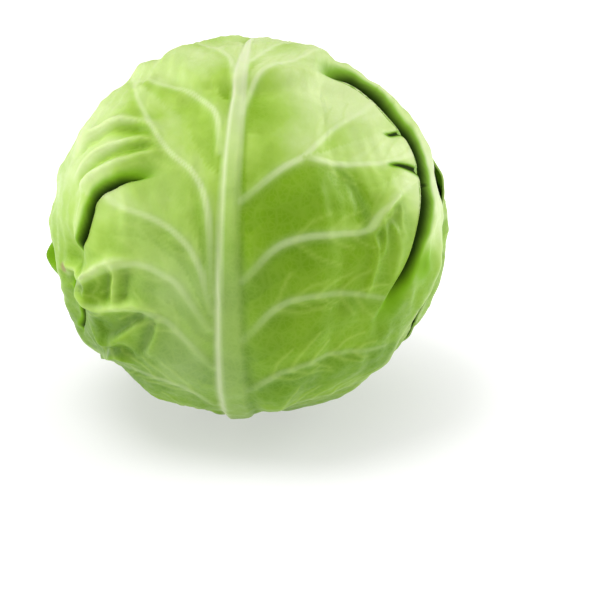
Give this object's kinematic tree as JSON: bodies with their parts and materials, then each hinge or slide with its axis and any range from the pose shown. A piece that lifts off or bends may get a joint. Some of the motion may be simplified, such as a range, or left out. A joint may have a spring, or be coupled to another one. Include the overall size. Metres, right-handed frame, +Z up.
{
  "type": "cabbage head",
  "caption": "Round green cabbage head: a cut stalk, a dense heart and large veined leaves wrapped over it, for kitchens, market stalls and still lifes.",
  "frame": {"origin": "the middle of the stalk's cut face, which the head stands on", "axes": "+Z up the stalk, -Y towards the head's front, where the widest leaf's rib faces, +X to its right"},
  "size_m": [0.1824, 0.1826, 0.1724],
  "materials": {
    "leaf": "satin",
    "young_leaf": "satin",
    "stalk": "matte"
  },
  "bodies": {
    "root": {"stalk": "stalk", "heart": "young_leaf", "front_under_leaf": "leaf", "back_under_leaf": "leaf", "left_under_leaf": "leaf", "right_under_leaf": "leaf", "back_left_leaf": "leaf", "front_leaf": "leaf", "right_leaf": "leaf"}
  },
  "joints": []
}
